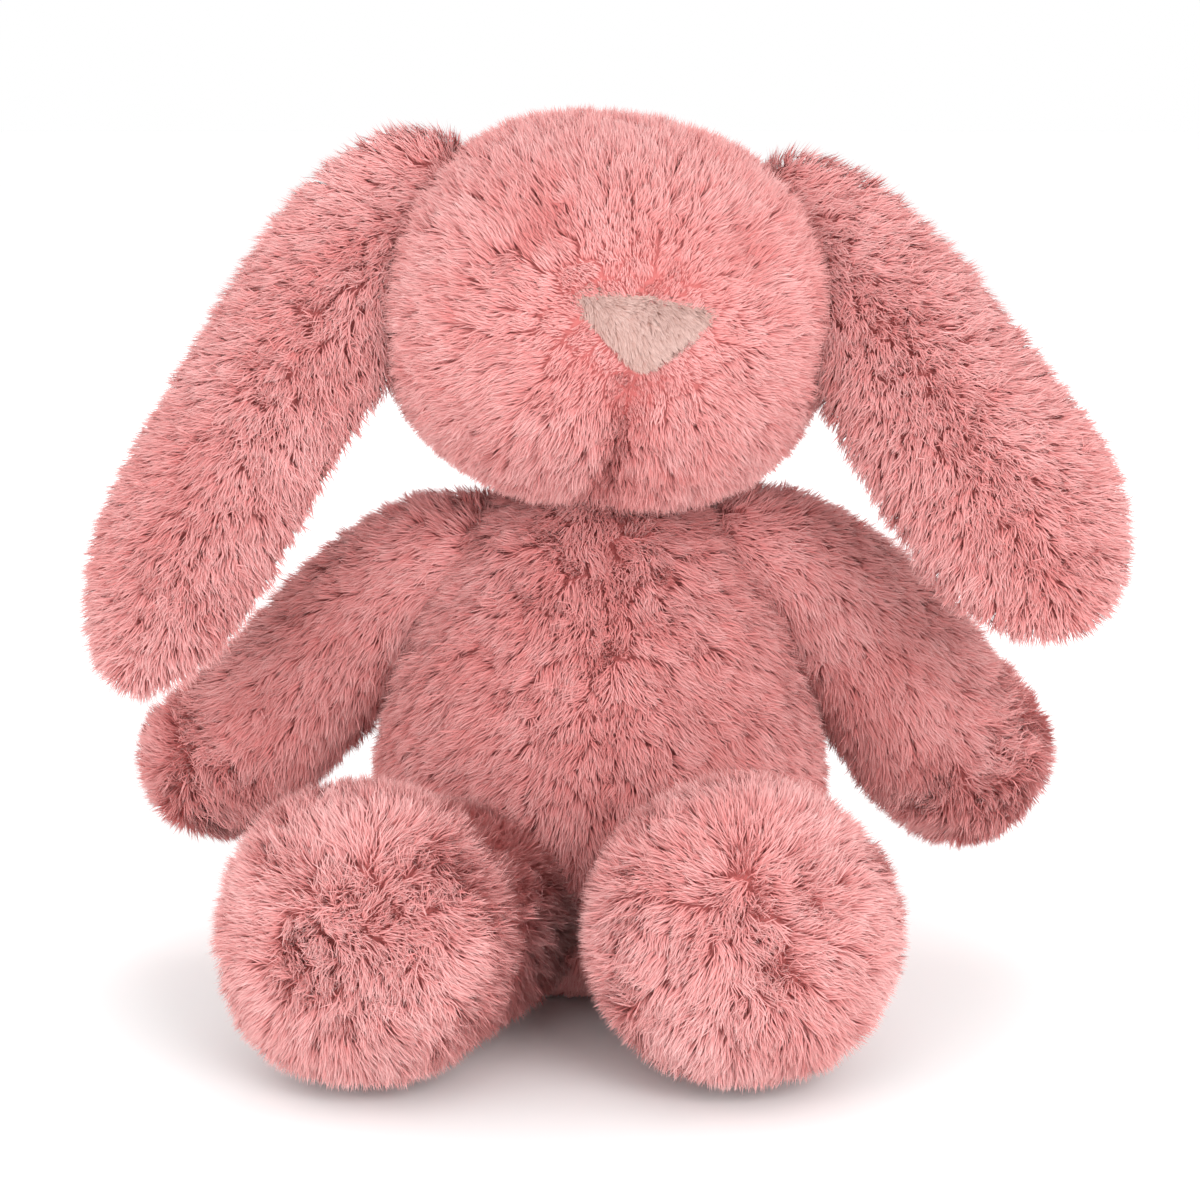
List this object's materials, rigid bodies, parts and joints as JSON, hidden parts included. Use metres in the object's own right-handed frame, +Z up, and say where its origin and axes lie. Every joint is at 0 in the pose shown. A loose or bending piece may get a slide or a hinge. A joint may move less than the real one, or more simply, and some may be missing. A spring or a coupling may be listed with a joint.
{
  "type": "stuffed bunny rabbit",
  "caption": "Sitting plush bunny in rose faux fur with long lop ears, a short-pile triangular nose, stuffed arms and legs with big round feet.",
  "frame": {"origin": "on the flat seat that the toy sits on, under the middle of the torso", "axes": "+Z up, the toy faces -Y, +X towards its left hand side (the right of a view from the front)"},
  "size_m": [0.2591, 0.199, 0.2179],
  "materials": {
    "rose_fur": "long-pile dusty rose faux fur, pale tips over deeper roots",
    "nose_plush": "short-pile pale peach plush",
    "ear_lining": "short-pile beige pink plush",
    "stuffing": "loose white polyester fibre",
    "pouch_cloth": "plain woven cotton",
    "pellets": "round polyethylene pellets",
    "label_tape": "blank white satin tape"
  },
  "bodies": {
    "torso": {"torso_front_left": "rose_fur", "torso_front_right": "rose_fur", "torso_back_left": "rose_fur", "torso_back_right": "rose_fur", "torso_stuffing": "stuffing", "seat_pouch": "pouch_cloth", "seat_pellets": "pellets", "tail_cover": "rose_fur", "tail_stuffing": "stuffing", "care_label": "label_tape"},
    "neck": {"neck_stuffing": "stuffing"},
    "head": {"head_left": "rose_fur", "head_right": "rose_fur", "head_gusset": "rose_fur", "head_stuffing": "stuffing", "nose_patch": "nose_plush"},
    "ear_left": {"ear_left_fur": "rose_fur", "ear_left_lining": "ear_lining"},
    "ear_right": {"ear_right_fur": "rose_fur", "ear_right_lining": "ear_lining"},
    "arm_left": {"arm_left_upper": "rose_fur", "arm_left_lower": "rose_fur", "arm_left_stuffing": "stuffing"},
    "arm_right": {"arm_right_upper": "rose_fur", "arm_right_lower": "rose_fur", "arm_right_stuffing": "stuffing"},
    "leg_left": {"leg_left_upper": "rose_fur", "leg_left_lower": "rose_fur", "foot_left_sole": "rose_fur", "leg_left_stuffing": "stuffing", "foot_left_pellets": "pellets"},
    "leg_right": {"leg_right_upper": "rose_fur", "leg_right_lower": "rose_fur", "foot_right_sole": "rose_fur", "leg_right_stuffing": "stuffing", "foot_right_pellets": "pellets"}
  },
  "joints": [
    {"name": "head_turn", "type": "hinge", "parent": "torso", "child": "neck", "pos_m": [0, -0.002, 0.119], "axis": [0, 0, 1], "range_deg": [-12, 12]},
    {"name": "head_nod", "type": "hinge", "parent": "neck", "child": "head", "pos_m": [0, -0.002, 0.119], "axis": [1, 0, 0], "range_deg": [-10, 20]},
    {"name": "ear_left_lift", "type": "hinge", "parent": "head", "child": "ear_left", "pos_m": [-0.027, -0.011, 0.204], "axis": [0.2034, 0.9568, -0.2079], "range_deg": [0, 85]},
    {"name": "ear_right_lift", "type": "hinge", "parent": "head", "child": "ear_right", "pos_m": [0.039, -0.005, 0.197], "axis": [0.1899, -0.8936, 0.4067], "range_deg": [0, 85]},
    {"name": "arm_left_raise", "type": "hinge", "parent": "torso", "child": "arm_left", "pos_m": [-0.037, 0.005, 0.1], "axis": [0.2425, 0.9701, 0], "range_deg": [-4, 60]},
    {"name": "arm_right_raise", "type": "hinge", "parent": "torso", "child": "arm_right", "pos_m": [0.037, 0.005, 0.1], "axis": [0.2388, -0.9711, 0], "range_deg": [-4, 60]},
    {"name": "hip_left_raise", "type": "hinge", "parent": "torso", "child": "leg_left", "pos_m": [-0.027, -0.034, 0.024], "axis": [-0.8785, 0.4778, 0], "range_deg": [-75, 15]},
    {"name": "hip_right_raise", "type": "hinge", "parent": "torso", "child": "leg_right", "pos_m": [0.025, -0.034, 0.024], "axis": [-0.988, -0.1544, 0], "range_deg": [-75, 15]}
  ]
}
